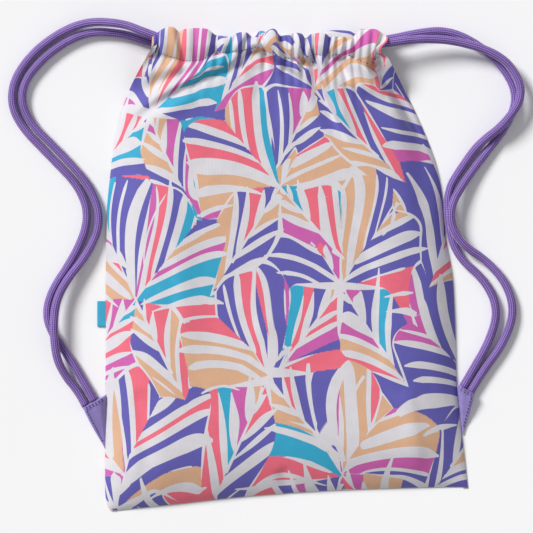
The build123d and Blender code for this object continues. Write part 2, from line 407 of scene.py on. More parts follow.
def thread(name, base, painted_shade_colour):
    """Sewing thread: a tight twist, with painted shade in the twist's grooves."""
    s = Shader(name, 0.5, 0.4)
    x, y, z = s.split(s.place())
    twist = s.wave(s.math("ADD", s.math("ADD", x, y), z), 0.0006)
    # painted shade in the twist's grooves
    shaded_tone = s.mix(twist, painted_shade_colour, base)
    patch = s.span(s.noise(s.place(), 400.0), 0.3, 0.7, 0.88, 1.08)
    return s.finish(s.mix(1.0, shaded_tone, patch, "MULTIPLY"), twist, 0.0001, 0.5)


def ribbon(name, base, painted_shade_colour):
    """A blank woven ribbon, with painted shade where its weave is low."""
    s = Shader(name, 0.45, 0.3)
    across, down, _ = s.split(s.uv())
    weft, warp = s.wave(down, 0.5), s.wave(across, 0.8)
    weave = s.math("MULTIPLY_ADD", weft, 0.7, s.math("MULTIPLY", warp, 0.3))
    worn = s.span(s.noise(s.uv(), 0.35), 0.3, 0.7, 0.92, 1.05)
    # painted shade: darker where the weave is low
    colour = s.mix(s.span(weave, 0.0, 0.9), painted_shade_colour, base)
    return s.finish(s.mix(1.0, colour, worn, "MULTIPLY"), weave, 0.0002, 0.5)


def lining(name):
    """The cloth's unprinted side, as the seam allowances inside show it, with painted shade in its
    weave's grooves.
    """
    s = Shader(name, 0.65, 0.1)
    x, y, _ = s.split(s.place())
    warp, weft = s.wave(x, 0.0011), s.wave(y, 0.0009)
    weave = s.math("MULTIPLY_ADD", warp, 0.6, s.math("MULTIPLY", weft, 0.4))
    worn = s.span(s.noise(s.place(), 40.0), 0.3, 0.7, 0.85, 0.95)
    # painted shade in the weave's grooves, times faint wear
    weave_shade_and_wear = s.math("MULTIPLY_ADD", weave, 0.08, worn)
    return s.finish(s.mix(1.0, WHITE_CLOTH, weave_shade_and_wear, "MULTIPLY"), weave, 0.0002, 0.5)


PRINT_CLOTH = print_cloth("print_cloth")
SEAM_CLOTH = lining("seam_cloth")
# the cord's own colour, then its painted groove shade, then its painted crest highlight
CORD = cord_braid("cord_braid", linear("9c78cb"), linear("432a78"), linear("bfa6e6"))
# the second colour of each material below is its painted shade where its weave or twist is low
TAB = twill("tab_twill", linear("a896d8"), linear("7c69b4"))
THREAD = thread("thread", linear("6a559f"), linear("453470"))
DARK_THREAD = thread("dark_thread", linear("3a2b66"), linear("231848"))
LABEL = ribbon("label_ribbon", linear("3fb9de"), linear("2b9cc2"))

# ---- the print: palm fronds on grounds of their own, in the cloth's own millimetres ----

INKS = {
    "periwinkle": linear("645fb3"),
    "coral": linear("f16f84"),
    "magenta": linear("d062b0"),
    "turquoise": linear("36abd0"),
    "peach": linear("e0b290"),
}
FRONT_PRINT, BACK_PRINT = 15, 31  # seeds
INK_ORDER = ["periwinkle", "coral", "periwinkle", "magenta", "periwinkle", "peach", "coral",
             "turquoise", "periwinkle", "periwinkle", "periwinkle", "peach", "magenta", "coral"]
FIRST_FROND = (-205.0, 290.0)
FROND_ROWS = 7
FROND_ROW_PITCH = 94.0
FRONDS_IN_ROW = 5
FROND_PITCH = 104.0
LEAN_RIGHT, LEAN_LEFT = 50.0, 128.0  # degrees from the cloth's width
LEAF_CURL = 70.0  # a leaf's sweep eases off over about this distance from its stem
CROSSING = 32.0  # leaf tips can cross where the two nearest fronds differ by less than this
NO_WHITE = -5.0  # well outside every white area
UV_MM = 100.0  # millimetres in one unit of the printed cloth's uv


def chance(k, side, seed):
    """A repeatable value from 0 to 1 for leaf k on one side of a frond."""
    value = np.sin(k * 12.9898 + side * 78.233 + seed * 37.719) * 43758.5453
    return value - np.floor(value)


def frond_layout(seed):
    """Rows of fronds from the top down, each leaning left or right."""
    pick = np.random.default_rng(seed)
    fronds = []
    for row in range(FROND_ROWS):
        for i in range(FRONDS_IN_ROW):
            right = (i + row) % 2 == 0
            fronds.append({
                "x": FIRST_FROND[0] + (0.5 * (row % 2) + i) * FROND_PITCH + pick.uniform(-12, 12),
                "y": FIRST_FROND[1] - row * FROND_ROW_PITCH + pick.uniform(-14, 14),
                "angle": radians((LEAN_RIGHT if right else LEAN_LEFT) + pick.uniform(-13, 13)),
                "bend": (1 if right else -1) * pick.uniform(-0.02, 0.14) / 100,
                "length": pick.uniform(100, 135),
                "pitch": pick.uniform(24, 30),
                "sweep": pick.uniform(1.1, 1.7),
                "seed": len(fronds) + 1 + seed * 50,
            })
    return fronds


def frond_way(x, y, f):
    """Along a frond's bent stem, out from it, the side, and where the leaf there meets the stem."""
    dx, dy = x - f["x"], y - f["y"]
    s = dx * cos(f["angle"]) + dy * sin(f["angle"])
    t = dy * cos(f["angle"]) - dx * sin(f["angle"]) - f["bend"] * np.clip(s, 0, f["length"]) ** 2
    out = np.abs(t)
    base = s - f["sweep"] * out * (1.45 - 0.62 * np.clip(out / LEAF_CURL, 0, 1.1))
    return s, out, np.where(t < 0, -1.0, 1.0), base


def frond_gap(x, y, f):
    """How far a point is from a frond: out from its stem, and on past the stem's ends."""
    s, out, _, base = frond_way(x, y, f)
    beyond = np.maximum(np.maximum(-base, base - f["length"]), 0)
    return np.hypot(out, 1.35 * beyond) + 3.0 * (1 + np.sin(0.045 * s + f["seed"]))


def leaves(x, y, f, share):
    """White inside one frond, in millimetres, and its ink. share is 1 where its ground ends."""
    s, out, side, base = frond_way(x, y, f)
    seed = f["seed"]
    sway = 2.0 * np.sin(s * 0.05 + out * 0.04 + seed * 3)
    sway += 1.4 * np.sin(out * 0.09 + side * 2 + seed)
    q = (base + sway) / f["pitch"] + 0.25 * side + seed * 0.37
    q = q + 0.16 * np.sin(2 * pi * 0.38 * q + seed)
    strip, leaf = np.floor(q + 0.5), np.floor(q)
    off = np.abs(q - strip)
    to_mm = f["pitch"] / hypot(1, f["sweep"])
    fullness = 0.5 + 0.5 * chance(leaf + 3, side, seed + 9)
    reach = 0.80 + 0.55 * chance(leaf + 7, side, seed + 3)
    shape = np.sin(pi * np.clip(share / reach, 0, 1) ** 0.75) ** 1.15
    wide = np.where(share < reach, 0.04 + 0.35 * fullness * shape, -1.0)
    blade = (off - 0.5 + wide) * to_mm
    stem = 1.5 - s / f["length"] - out
    white = np.maximum(blade, np.where((s > -6) & (s < 1.02 * f["length"]), stem, NO_WHITE))
    palette = np.array([INKS[name] for name in INK_ORDER])
    pair = np.floor(strip / 2)
    joined = chance(pair, side, seed + 5) < 0.42
    luck = chance(np.where(joined, 2 * pair, strip), side, seed)
    return white, palette[(luck * len(INK_ORDER)).astype(int) % len(INK_ORDER)]


def draw_print(x, y, seed):
    """The distance inside a white area, in millimetres, and the ink at each point of the cloth.

    Each frond has the ground nearest to it. White runs between grounds, and leaf tips cross it.
    """
    fronds = frond_layout(seed)
    gaps = np.stack([frond_gap(x, y, f) for f in fronds])
    order = np.argpartition(gaps, 1, axis=0)[:2]
    near, far = np.take_along_axis(gaps, order, 0)
    swap = near > far
    first, second = np.where(swap, order[1], order[0]), np.where(swap, order[0], order[1])
    near, far = np.minimum(near, far), np.maximum(near, far)
    white = np.full(len(x), NO_WHITE)
    ink = np.zeros((len(x), 3))
    for k, f in enumerate(fronds):
        own = first == k
        share = 2 * near[own] / (near[own] + far[own])
        white[own], ink[own] = leaves(x[own], y[own], f, share)
    for k, f in enumerate(fronds):
        crossed = (second == k) & (far - near < CROSSING)
        share = 2 * far[crossed] / (near[crossed] + far[crossed])
        tip, _ = leaves(x[crossed], y[crossed], f, share)
        base = frond_way(x[crossed], y[crossed], f)[3]
        tip[(base < 4) | (base > f["length"])] = NO_WHITE
        white[crossed] = np.maximum(white[crossed], tip)
    rim = 0.7 + 1.7 * np.sin(x * 0.045 + 2) * np.sin(y * 0.05) - (far - near) / 2
    return np.maximum(white, rim), ink


def paint(obj, seed):
    """Writes the print's fields on the mesh, from its cut coordinates."""
    mesh = obj.data
    corner = np.zeros(len(mesh.loops), np.int32)
    mesh.loops.foreach_get("vertex_index", corner)
    pairs = np.zeros(len(mesh.loops) * 2, np.float32)
    mesh.uv_layers["cut"].data.foreach_get("uv", pairs)
    cut = np.zeros((len(mesh.vertices), 2))
    cut[corner] = pairs.reshape(-1, 2) * UV_MM
    white, ink = draw_print(cut[:, 0], cut[:, 1], seed)
    mesh.attributes.new("print_white", "FLOAT", "POINT").data.foreach_set(
        "value", white.astype(np.float32)
    )
    rgba = np.hstack([ink, np.ones((len(ink), 1))]).astype(np.float32)
    mesh.attributes.new("print_colour", "FLOAT_COLOR", "POINT").data.foreach_set(
        "color", rgba.ravel()
    )


# ---- the bag's cloth ----
# Each face of the bag is one rectangle of cloth, gathered at the mouth. Its rows run from
# the hem inside the channel, round the channel, to the stitch line and down to the bottom.

MOUTH_LEFT, MOUTH_RIGHT = -122.5, 101.5
NECK_Y = 197.5
LEFT_SIDE = [
    (MOUTH_LEFT, NECK_Y), (-140, 166), (-151.5, 129), (-157.5, 86), (-161, 40), (-161.4, -60),
    (-162, -167), (-161.4, -214), (-156.5, -225),
]
BOTTOM = [(-156.5, -225), (-96, -218.5), (-26, -211), (57, -205.5), (158.5, -202.5), (177, -203.5)]
RIGHT_SIDE = [
    (MOUTH_RIGHT, NECK_Y), (127, 149), (144.5, 107), (151.5, 79), (154.4, 52), (157, 25),
    (162.5, -5), (165, -46.5), (167, -111.5), (174, -176.5), (177, -203.5),
]
STITCH_LINE = [
    (-122.5, 197.5), (-115.8, 202.5), (-109, 198.6), (-95, 194), (-84, 191.6), (-69, 193.4),
    (-62.8, 198.6), (-49.8, 199.5), (-40, 200.3), (-25.6, 202.7), (-18, 203.5), (-2, 196),
    (12, 194), (27.4, 195.3), (32.6, 198), (40.9, 196.5), (62.8, 197.2), (73.9, 192),
    (84.2, 189), (89.7, 193), (95, 197), (101.5, 197.5),
]
TOP_EDGE = [
    (-122.5, 216.5), (-119.5, 217.6), (-106.5, 224.5), (-97.7, 225.5), (-92.5, 221.0),
    (-87.9, 223.6), (-76, 224.6), (-65.6, 223.4), (-57.2, 217.6), (-45, 216.7),
    (-37.7, 220.2), (-29.3, 220.4), (-24.2, 215.8), (-18, 216.4), (-7.4, 223.5),
    (-2.3, 223.0), (1.5, 217.5), (9.4, 219.0), (16.3, 220.2), (22.8, 218.5), (25, 214.4),
    (29.3, 218.6), (37, 220.0), (45.1, 218.8), (47.5, 215.4), (50.7, 217.6), (55.9, 215.8),
    (60, 216.9), (64, 215.2), (69.3, 216.7), (73, 222), (82.3, 223.6), (89.7, 223.6),
    (98, 218.6), (101.8, 216),
]

CUT_WIDTH = 346.0
PANEL_LENGTH = 424.0
CHANNEL_LENGTH = 62.0
COLUMNS = 128
PANEL_ROWS = 120
EDGE_Z = 1.0
NECK_Z = 24.5
DOME = 21.0
DOME_REACH = 58.0

u = np.linspace(0, 1, COLUMNS + 1)
v = np.linspace(0, 1, PANEL_ROWS + 1)


def panel_plan():
    """Where each point of a panel lies, seen from above: the outline filled in smoothly."""
    left = along(rounded(LEFT_SIDE), v)[:, None]
    right = along(rounded(RIGHT_SIDE), v)[:, None]
    bottom = along(rounded(BOTTOM), u)[None]
    mouth = np.interp(u, [0, 1], [MOUTH_LEFT, MOUTH_RIGHT])
    neck = np.stack([mouth, np.full_like(u, NECK_Y)], -1)[None]
    across, down = u[None, :, None], v[:, None, None]
    plan = (1 - down) * neck + down * bottom + (1 - across) * left + across * right
    corners = (1 - across) * (1 - down) * left[0] + across * (1 - down) * right[0]
    corners = corners + (1 - across) * down * left[-1] + across * down * right[-1]
    return plan - corners


def curve_at(table, x):
    line = rounded(table, 6)
    return np.interp(x, line[:, 0], line[:, 1])


# folds: height, width to the left and to the right of the line's way, and the line itself
FRONT_FOLDS = [
    (4.4, 2.6, 13, [(-21, 211), (-44, 193), (-70, 182.5), (-98, 168.5), (-129, 149.5), (-149, 130)]),
    (-2.8, 6, 2.4, [(-19, 207), (-41, 188), (-67, 178), (-95, 163), (-126, 144), (-144, 125)]),
    (3.6, 7, 7, [(-129, 177), (-114, 184), (-96, 187), (-80, 189), (-69, 184)]),
    (-3.0, 4, 6, [(-78, 186), (-96, 179), (-112, 173), (-134, 160)]),
    (2.6, 8, 11, [(-76, 164), (-97, 152), (-114, 140), (-132, 124)]),
    (3.4, 7, 7, [(-66, 191), (-56, 196), (-42, 203)]),
    (4.0, 7, 3.2, [(-13, 202), (4, 193), (17, 185), (30, 172)]),
    (-3.8, 2.6, 5, [(-12, 198), (2, 189), (14, 180), (24, 168)]),
    (5.5, 13, 3.0, [(34, 206), (38, 190), (43, 172), (52, 152), (60, 136), (72, 116)]),
    (-6.5, 2.6, 9, [(29, 205), (33, 190), (38, 171), (46, 152), (54, 136), (65, 116)]),
    (-5.5, 4.5, 4.5, [(55, 205), (57.5, 193), (60, 184), (66, 176)]),
    (7.5, 3.4, 13, [(60, 203), (74, 192), (86, 180), (99, 165), (108, 151), (118, 134), (135, 112)]),
    (-6.5, 13, 3.0, [(68, 206), (80, 196), (92, 184), (105, 168), (114, 153), (124, 136), (143, 112)]),
    (3.0, 6, 6, [(46, 184), (58, 176), (72, 171), (84, 166), (90, 156)]),
    (4.0, 6, 4, [(84, 204), (96, 194), (108, 178), (120, 158), (132, 138)]),
    (-2.4, 6, 6, [(-24, 190), (-20, 170), (-18, 150)]),
    (2.4, 9, 5, [(0, 180), (5, 158), (6, 134), (14, 112)]),
    (-1.8, 9, 9, [(122, 140), (130, 110), (133, 70), (131, 30)]),
    (2.2, 16, 8, [(-112, 76), (-94, 16), (-88, -50), (-96, -110)]),
    (-2.2, 8, 16, [(58, 70), (84, 4), (92, -70), (86, -130)]),
    (2.0, 10, 18, [(-20, -40), (8, -110), (22, -170)]),
    (-2.6, 6, 6, [(2, -184), (9, -204), (8, -213)]),
    (-2.2, 12, 7, [(-132, -110), (-123, -165), (-127, -208)]),
    (2.0, 8, 14, [(118, -110), (128, -160), (126, -200)]),
    (1.6, 10, 14, [(146, 20), (146, -60), (152, -130)]),
]
BACK_FOLDS = [
    (3.0, 9, 5, [(-95, 190), (-88, 160), (-92, 120), (-104, 84)]),
    (2.4, 8, 5, [(-40, 192), (-44, 158), (-38, 126)]),
    (3.0, 5, 9, [(12, 192), (20, 164), (16, 130), (24, 96)]),
    (2.8, 5, 9, [(66, 192), (74, 162), (84, 128), (86, 92)]),
    (1.8, 14, 9, [(-110, 20), (-80, -40), (-76, -110)]),
    (1.6, 9, 16, [(50, 30), (70, -40), (64, -120)]),
    (1.5, 12, 8, [(-20, -100), (0, -150), (6, -196)]),
]


def fold_heights(x, y, folds):
    """The folds' heights added up. Each fades out towards both ends of its line."""
    total = np.zeros_like(x)
    for height, left, right, line in folds:
        track = along(rounded(line), np.linspace(0, 1, 60))
        ahead = np.gradient(track, axis=0)
        gap = np.hypot(x[..., None] - track[:, 0], y[..., None] - track[:, 1])
        nearest = gap.argmin(-1)
        place = nearest / (len(track) - 1)
        way = ahead[nearest]
        side = way[..., 0] * (y - track[nearest, 1]) - way[..., 1] * (x - track[nearest, 0])
        width = np.where(side > 0, left, right)
        fade = smooth(place, -0.02, 0.14) * (1 - smooth(place, 0.60, 1.02))
        total += height * fade * np.exp(-((gap.min(-1) / width) ** 2))
    return total


def dome(distance):
    """How much of the bag's height is reached at this distance from its edge."""
    return 1 - (1 - np.clip(distance / DOME_REACH, 0, 1)) ** 2.2


# the channel's creases: x at the top edge, x at the stitch line, depth and width
CREASES = [
    (-114, -112, 2.6, 2.4), (-92, -88, 3.0, 3.4), (-78, -76, 1.4, 3), (-58, -57, 3.6, 3.6),
    (-38, -48, 2.4, 3.6), (-25, -35, 3.4, 3), (-17, -13, 5.0, 2.2), (1.5, 6, 5.4, 2.2),
    (8, 9.5, 3.0, 1.9), (14.5, 13.5, 3.6, 1.9), (24.5, 22, 5.4, 2.4), (34, 33, 1.8, 2.4),
    (47.5, 46, 5.0, 2.2), (55.5, 53, 3.8, 1.9), (63.5, 61, 4.4, 1.9), (71, 69, 5.0, 2.2),
    (79, 77, 1.8, 2.4), (88, 86, 1.6, 2.4), (97, 95, 2.6, 2.4),
]
CREASE_GAIN = 1.3
GATHERS = 19


def crease_depth(x, share, creases):
    """How deep the channel's creases are at x and a share of the way to the top edge."""
    total = np.zeros(np.broadcast_shapes(x.shape, share.shape))
    for x_top, x_low, depth, width in creases:
        middle = x_low + (x_top - x_low) * np.clip(share, -0.3, 1)
        total += CREASE_GAIN * depth * np.exp(-(((x - middle) / width) ** 2))
    return total * (1 + 0.35 * np.clip(share, 0, 1))


def gathers():
    """How deep the small gathers along the stitch line are, from 0 to 1."""
    crest = np.abs(np.sin(pi * u * GATHERS + 1.3 * np.sin(u * 23)))[None]
    return 1 - crest**0.7


def panel_points(front):
    """A panel's points at rest, before it settles."""
    plan = panel_plan()
    x, y = plan[..., 0], plan[..., 1]
    sag = np.exp(-v[:, None] * PANEL_LENGTH / 45)
    y = y + (curve_at(STITCH_LINE, x[0]) - NECK_Y)[None] * sag
    width = x[:, -1:] - x[:, :1]
    from_side = np.minimum(u, 1 - u)[None] * width
    from_bottom = (1 - v)[:, None] * PANEL_LENGTH
    from_neck = v[:, None] * PANEL_LENGTH
    rim = np.minimum(from_side, from_bottom)
    free = smooth(rim, 0, 14)
    gather = gathers() * np.exp(-from_neck / 20) * free
    creases = crease_depth(x - 0.10 * from_neck * (x - 8) / 90, np.zeros((1, 1)), CREASES)
    creases = creases * np.exp(-from_neck / (13 + 9 * smooth(x, -10, 30))) * free
    ease = 0.8 * noise(x / 55, y / 55, 3 if front else 5) + 0.35 * noise(x / 21, y / 21, 8)
    if front:
        z = EDGE_Z + DOME * dome(from_side) * dome(from_bottom) + 1.8 * (1 - np.exp(-rim / 1.5))
        z = NECK_Z + (z - NECK_Z) * smooth(from_neck, 0, 46)
        z = z + ease * free - 2.0 * gather - creases
    else:
        z = 0.5 + 0.3 * (1 - np.exp(-rim / 1.5)) + 0 * x
        z = z + np.clip(0.8 * ease + 0.7, 0, 9) * free
        z = z + 3.0 * np.exp(-from_neck / 12) + 1.4 * gather
    return np.stack([x, y, z], -1)


# a channel's section: share of the way from the stitch line to the top edge, height, and
# the distance round from the stitch line
FRONT_LOOP = [
    (0.00, 24.5, 0), (0.14, 27.8, 5), (0.40, 29.6, 11), (0.68, 29.2, 17), (0.90, 26.9, 22),
    (1.00, 22.8, 27), (0.93, 18.8, 32), (0.72, 16.6, 37), (0.45, 16.2, 43), (0.18, 16.4, 49),
    (0.02, 17.2, 54), (-0.30, 17.6, 62),
]
BACK_LOOP = [
    (0.00, 3.5, 0), (0.14, 1.2, 5), (0.40, 0.6, 11), (0.68, 0.6, 17), (0.90, 2.2, 22),
    (1.00, 5.6, 27), (0.93, 9.4, 32), (0.72, 11.2, 37), (0.45, 11.8, 43), (0.18, 11.4, 49),
    (0.02, 9.6, 54), (-0.30, 8.8, 62),
]


def channel_points(front):
    """The channel's rows, from just past the stitch line round to the hem inside."""
    x = np.interp(u, [0, 1], [MOUTH_LEFT, MOUTH_RIGHT])
    low, top = curve_at(STITCH_LINE, x), curve_at(TOP_EDGE, x)
    creases = CREASES
    if not front:
        mirror = MOUTH_LEFT + MOUTH_RIGHT
        top = curve_at(TOP_EDGE, mirror - x) - 0.8
        creases = [(mirror - a, mirror - b, 0.45 * depth, width) for a, b, depth, width in CREASES]
    section = along(rounded(FRONT_LOOP if front else BACK_LOOP, 8), np.linspace(0, 1, 21))[1:]
    share, height, run = section[:, 0, None], section[:, 1, None], section[:, 2, None]
    outer = smooth(31 - run, 0, 8)
    facing = 1 if front else -1
    puff = 2.6 * np.clip(1 - np.abs(share - 0.45) * 1.5, 0, 1) * outer * (1 if front else 0.2)
    lift = puff - crease_depth(x[None], share, creases) * outer
    lift = lift + 0.5 * noise(x[None] / 6, share * 3, 4) * outer
    lift = lift - 1.5 * gathers() * np.exp(-run / 7)
    if not front:
        lift = np.minimum(lift, height - 0.4)
    y = low + (top - low) * share
    drift = 1.2 * np.sin(x / 9)[None] * share * (1 - share)
    left_end = np.exp(-(x - MOUTH_LEFT) / 9)[None]
    right_end = np.exp(-(MOUTH_RIGHT - x) / 9)[None]
    drift = drift + 5.5 * smooth(share, -0.1, 0.5) * left_end
    drift = drift - 7.0 * smooth(share, -0.1, 0.2) * (1 - smooth(share, 0.35, 0.8)) * right_end
    points = np.stack([x[None] + drift + 0 * share, y, height + facing * lift], -1)
    return points, run


SETTLE_FRAMES = 20
SUBDIVISIONS = 2
CORE_Y = 211.0  # the middle of the channels
FRONT_CORE_Z, BACK_CORE_Z = 22.0, 5.6
TURNING = 5.0  # how far the cloth's side edges are turned in
FRONT_SETTLING, BACK_SETTLING = (0.5, 9.0), (-0.4, 4.0)  # pressure, and the limit of movement
LOWEST = 0.35  # a panel's points stay at or above this height


def settle(points, rest, pins, pressure, cap):
    """Lets a grid of cloth settle from points towards its cut size, and limits how far it moves."""
    rows, columns = points.shape[:2]
    obj = mesh_object("settling", points, grid_faces(rows, columns, flip=True))
    obj.shape_key_add(name="start")
    cut = obj.shape_key_add(name="cut")
    cut.data.foreach_set("co", (rest * MM).astype(np.float32).ravel())
    cut.value = 0
    group = obj.vertex_groups.new(name="sewn")
    group.add(np.flatnonzero(pins.ravel()).tolist(), 1.0, "REPLACE")
    cloth = obj.modifiers.new("cloth", "CLOTH")
    s = cloth.settings
    s.rest_shape_key = cut
    s.vertex_group_mass = "sewn"
    s.quality = 5
    s.mass = 0.15
    s.tension_stiffness = 40
    s.compression_stiffness = 40
    s.shear_stiffness = 8
    s.bending_stiffness = 0.08
    s.air_damping = 4
    s.use_pressure = True
    s.uniform_pressure_force = pressure
    s.effector_weights.gravity = 0
    cloth.collision_settings.use_collision = False
    cloth.point_cache.frame_start = 1
    cloth.point_cache.frame_end = SETTLE_FRAMES
    for step in range(1, SETTLE_FRAMES + 1):
        bpy.context.scene.frame_set(step)
    shaped = obj.evaluated_get(bpy.context.evaluated_depsgraph_get())
    moved = np.zeros(rows * columns * 3, np.float32)
    shaped.to_mesh().vertices.foreach_get("co", moved)
    shaped.to_mesh_clear()
    bpy.context.scene.frame_set(1)
    mesh = obj.data
    bpy.data.objects.remove(obj)
    bpy.data.meshes.remove(mesh)
    step = moved.reshape(rows, columns, 3) / MM - points
    far = np.linalg.norm(step, axis=-1, keepdims=True)
    return points + step * cap / (cap + far)


def hemmed(points, channel_rows, front):
    """Turns the cloth's two side edges in: two more columns at each side, just inside."""
    inward = np.zeros((len(points), 1, 3))
    inward[:channel_rows, 0] = np.array([0, CORE_Y, FRONT_CORE_Z if front else BACK_CORE_Z])
    result = points
    for edge, way in ((0, 1), (-1, -1)):
        rim = points[:, :1] if edge == 0 else points[:, -1:]
        turn = np.zeros_like(rim)
        middle = inward[:channel_rows] - rim[:channel_rows]
        middle[..., 0] = 0
        turn[:channel_rows] = 0.9 * middle / np.linalg.norm(middle, axis=-1, keepdims=True)
        turn[channel_rows:, :, 2] = -0.5 if front else 0.4
        first = rim + turn
        second = rim + 1.4 * turn + np.array([TURNING * way, 0, 0])
        result = np.hstack([second, first, result] if edge == 0 else [result, first, second])
    return result


def bag_cloth(name, front):
    """One face of the bag: its channel and its panel as one sheet, settled and subdivided."""
    panel = panel_points(front)
    channel, run = channel_points(front)
    cut_x = CUT_WIDTH * (u - 0.5)
    cut_y = -v * PANEL_LENGTH
    flat = np.stack(np.meshgrid(cut_x, cut_y), -1)
    flat = np.concatenate([flat, np.zeros((*flat.shape[:2], 1))], -1)
    pins = np.zeros(panel.shape[:2], bool)
    pins[:2] = pins[-1:] = True
    pins[:, :2] = pins[:, -2:] = True
    panel = settle(panel, flat, pins, *(FRONT_SETTLING if front else BACK_SETTLING))
    x, y = panel[..., 0], panel[..., 1]
    rim = np.minimum(np.minimum(u, 1 - u)[None] * CUT_WIDTH, (1 - v)[:, None] * PANEL_LENGTH)
    folds = fold_heights(x, y, FRONT_FOLDS if front else BACK_FOLDS)
    panel[..., 2] = np.maximum(panel[..., 2] + folds * smooth(rim, 0, 12), LOWEST)
    points = hemmed(np.concatenate([channel[::-1], panel]), len(channel), front)
    left, right = cut_x[0], cut_x[-1]
    cut_x = np.concatenate([[left - TURNING, left - 1], cut_x, [right + 1, right + TURNING]])
    cut_rows = np.concatenate([run[::-1, 0] * CHANNEL_LENGTH / run.max(), cut_y])
    uv = np.stack(np.meshgrid(cut_x, cut_rows), -1).reshape(-1, 2)
    uv[:, 1] += PANEL_LENGTH / 2
    faces = grid_faces(*points.shape[:2], flip=front)
    obj = mesh_object(name, points, faces, uv[faces] / UV_MM, PRINT_CLOTH)
    fine = obj.modifiers.new("fine", "SUBSURF")
    fine.levels = fine.render_levels = SUBDIVISIONS
    fine.boundary_smooth = "PRESERVE_CORNERS"
    fine.uv_smooth = "PRESERVE_BOUNDARIES"
    apply_modifiers(obj)
    paint(obj, FRONT_PRINT if front else BACK_PRINT)
    return obj


front_cloth = bag_cloth("front_cloth", True)
back_cloth = bag_cloth("back_cloth", False)
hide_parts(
    "front_panel", "front_channel", "left_cord_front_run", "right_cord_front_run"
)
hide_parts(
    "back_panel", "back_channel", "left_cord_back_run", "right_cord_back_run",
    "left_cord_turn", "right_cord_turn",
)
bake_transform(front_cloth)
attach(back_cloth, "root")

# ---- the straps ----

for strap, start, bend_end in (
    ("left_strap", (-0.116, 0.222, 0), (-0.150, 0.195, 0)),
    ("right_strap", (0.100, 0.216, 0), (0.134, 0.189, 0)),
):
    for lane in ("front", "back"):
        line = route_line(ROUTES[f"{strap}_{lane}"])
        tube = cord_tube(f"{strap}_{lane}", line, CORD)
        side = strap.split("_")[0]
        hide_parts(f"{side}_cord_{lane}_strand")
        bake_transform(tube)

# ---- sewing: threads that lie on the cloth ----


def surface(obj):
    """A lookup of the point and normal where obj's surface is met from above or from below."""
    mesh = obj.data
    tree = BVHTree.FromPolygons([v.co for v in mesh.vertices], [p.vertices for p in mesh.polygons])

    def look(x, y, from_below=False):
        start = Vector((x * MM, y * MM, -0.1 if from_below else 0.1))
        place, normal, _, _ = tree.ray_cast(start, Vector((0, 0, 1 if from_below else -1)))
        return (None, None) if place is None else (np.array(place) / MM, np.array(normal))

    return look


# a stitch's outline: share of its length, width and rise, both as shares of its radius
STITCH_PROFILE = [
    (0.0, 0.35, -0.30), (0.15, 0.9, 0.05), (0.5, 1.0, 0.2), (0.85, 0.9, 0.05), (1.0, 0.35, -0.30),
]
STITCH_SIDES = 6
SEAM_STITCH = (3.0, 0.62)  # pitch, and the share of it that the thread lies on top
SEAM_THREAD, BARTACK_THREAD, TAB_THREAD = 0.32, 0.26, 0.48  # radii


def sewing(name, ends, radius, material):
    """One mesh of stitches. ends is a list of (start, end, normal), in millimetres."""
    points, faces = [], []
    for start, end, normal in ends:
        direction = (end - start) / np.linalg.norm(end - start)
        across = np.cross(direction, normal)
        across /= np.linalg.norm(across)
        above = np.cross(across, direction)
        first = len(points)
        for share, width, rise in STITCH_PROFILE:
            middle = start + (end - start) * share + above * radius * (rise + 0.5)
            for k in range(STITCH_SIDES):
                turn = 2 * pi * k / STITCH_SIDES
                points.append(middle + radius * width * (across * cos(turn) + above * sin(turn)))
        stitch = tube_faces(len(STITCH_PROFILE), STITCH_SIDES, flip=True)
        faces += [[first + k for k in face] for face in stitch]
    return mesh_object(name, np.array(points), faces, None, material)


def stitch_row(look, line, pitch, share, from_below=False):
    """Stitches along a line of (x, y), each laid on the surface that look finds there."""
    count = int(line_length(line) / pitch)
    spots = along(line, np.linspace(0, 1, 2 * count + 1))
    ends = []
    for i in range(count):
        a, b = spots[2 * i], spots[2 * i + 1]
        b = a + (b - a) * 2 * share
        start, normal = look(*a, from_below)
        end, _ = look(*b, from_below)
        if start is not None and end is not None and abs(start[2] - end[2]) < 2:
            ends.append((start, end, normal))
    return ends


front_look, back_look = surface(front_cloth), surface(back_cloth)
seam_x = np.linspace(-117, 96, 260)
seam_row = np.stack([seam_x, curve_at(STITCH_LINE, seam_x) + 2.2], -1)
for name, look, from_below, body in (
    ("front_channel", front_look, False, "front_lip"), ("back_channel", back_look, True, "root"),
):
    ends = stitch_row(look, seam_row, *SEAM_STITCH, from_below)
    stitches = sewing(f"{name}_thread", ends, SEAM_THREAD, THREAD)
    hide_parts(f"{name}_stitching")
    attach(stitches, body)

for name, x in (("left_mouth_bartack", -113.5), ("right_mouth_bartack", 89.0)):
    y = float(curve_at(STITCH_LINE, x)) + 2.5
    ends = []
    for k in range(9):
        start, normal = front_look(x - 1.5 + 0.2 * (k % 2), y + 0.6 * k)
        end, _ = front_look(x + 1.5 - 0.2 * (k % 2), y + 0.6 * k + 0.4)
        if start is not None and end is not None:
            ends.append((start, end, normal))
    bartack = sewing(f"{name}_thread", ends, BARTACK_THREAD, THREAD)
    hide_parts(name)
    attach(bartack, "front_lip")

# ---- tabs: folded triangles of webbing that hold the cords' ends ----

TAB_ROWS, TAB_COLUMNS = 44, 30
TAB_FLOOR = 0.15
TAB_CUFF = 5.4
TAB_SEAMS = (1.9, 3.7)


